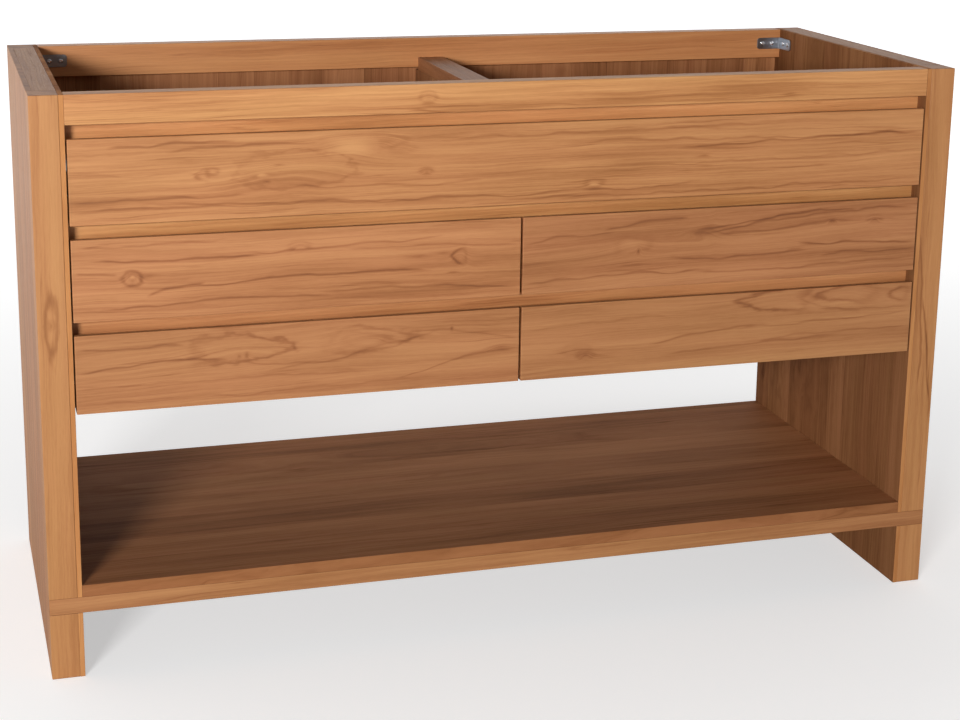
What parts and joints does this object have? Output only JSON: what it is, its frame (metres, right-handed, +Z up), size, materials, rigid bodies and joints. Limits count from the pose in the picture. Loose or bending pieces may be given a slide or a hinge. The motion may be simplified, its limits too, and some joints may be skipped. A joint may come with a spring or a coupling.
{
  "type": "bathroom vanity cabinet",
  "caption": "Open-topped teak vanity base on slab sides, with a full-width drawer above rows of paired drawers, recessed finger grips and a low open shelf.",
  "frame": {"origin": "on the floor, under the middle of the cabinet", "axes": "+X to the right seen from the front, +Y to the wall, +Z up; the drawers open towards -Y"},
  "size_m": [1.4, 0.55, 0.85],
  "materials": {
    "teak_front": "satin oiled teak",
    "teak_side": "satin oiled teak",
    "teak_inner": "satin oiled teak, darker boards",
    "drawer_box": "satin lacquered wood",
    "slide_steel": "bright zinc-plated steel",
    "bracket_zinc": "grey zinc-plated steel",
    "screw_zinc": "bright zinc-plated steel"
  },
  "bodies": {
    "carcass": {"back_end_boards": "teak_inner", "back_panel": "teak_inner", "bay_floor": "teak_inner", "bottom_back_rail": "teak_inner", "bottom_front_rail": "teak_front", "bottom_shelf": "teak_inner", "bracket_screws": "screw_zinc", "centre_back_post": "teak_inner", "centre_partition": "teak_inner", "corner_brackets": "bracket_zinc", "left_back_post": "teak_side", "left_front_post": "teak_front", "left_inner_lining": "teak_inner", "left_outer_panel": "teak_side", "lower_finger_rail": "teak_front", "lower_slide_rails": "slide_steel", "middle_finger_rail": "teak_front", "right_back_post": "teak_side", "right_front_post": "teak_front", "right_inner_lining": "teak_inner", "right_outer_panel": "teak_side", "side_foot_rails": "teak_inner", "side_top_rails": "teak_inner", "top_back_rail": "teak_inner", "top_cross_rail": "teak_inner", "top_front_rail": "teak_front", "upper_finger_rail": "teak_front", "upper_slide_rails": "slide_steel", "wide_slide_rails": "slide_steel"},
    "wide_drawer": {"wide_drawer_front": "teak_front", "wide_drawer_left_side": "drawer_box", "wide_drawer_right_side": "drawer_box", "wide_drawer_back": "drawer_box", "wide_drawer_bottom": "drawer_box", "wide_drawer_runners": "slide_steel"},
    "upper_left_drawer": {"upper_left_drawer_front": "teak_front", "upper_left_drawer_left_side": "drawer_box", "upper_left_drawer_right_side": "drawer_box", "upper_left_drawer_back": "drawer_box", "upper_left_drawer_bottom": "drawer_box", "upper_left_drawer_runners": "slide_steel"},
    "upper_right_drawer": {"upper_right_drawer_front": "teak_front", "upper_right_drawer_left_side": "drawer_box", "upper_right_drawer_right_side": "drawer_box", "upper_right_drawer_back": "drawer_box", "upper_right_drawer_bottom": "drawer_box", "upper_right_drawer_runners": "slide_steel"},
    "lower_left_drawer": {"lower_left_drawer_front": "teak_front", "lower_left_drawer_left_side": "drawer_box", "lower_left_drawer_right_side": "drawer_box", "lower_left_drawer_back": "drawer_box", "lower_left_drawer_bottom": "drawer_box", "lower_left_drawer_runners": "slide_steel"},
    "lower_right_drawer": {"lower_right_drawer_front": "teak_front", "lower_right_drawer_left_side": "drawer_box", "lower_right_drawer_right_side": "drawer_box", "lower_right_drawer_back": "drawer_box", "lower_right_drawer_bottom": "drawer_box", "lower_right_drawer_runners": "slide_steel"}
  },
  "joints": [
    {"name": "wide_drawer_slide", "type": "slide", "parent": "carcass", "child": "wide_drawer", "axis": [0, -1, 0], "range_m": [0, 0.26]},
    {"name": "upper_left_drawer_slide", "type": "slide", "parent": "carcass", "child": "upper_left_drawer", "axis": [0, -1, 0], "range_m": [0, 0.26]},
    {"name": "upper_right_drawer_slide", "type": "slide", "parent": "carcass", "child": "upper_right_drawer", "axis": [0, -1, 0], "range_m": [0, 0.26]},
    {"name": "lower_left_drawer_slide", "type": "slide", "parent": "carcass", "child": "lower_left_drawer", "axis": [0, -1, 0], "range_m": [0, 0.26]},
    {"name": "lower_right_drawer_slide", "type": "slide", "parent": "carcass", "child": "lower_right_drawer", "axis": [0, -1, 0], "range_m": [0, 0.26]}
  ]
}
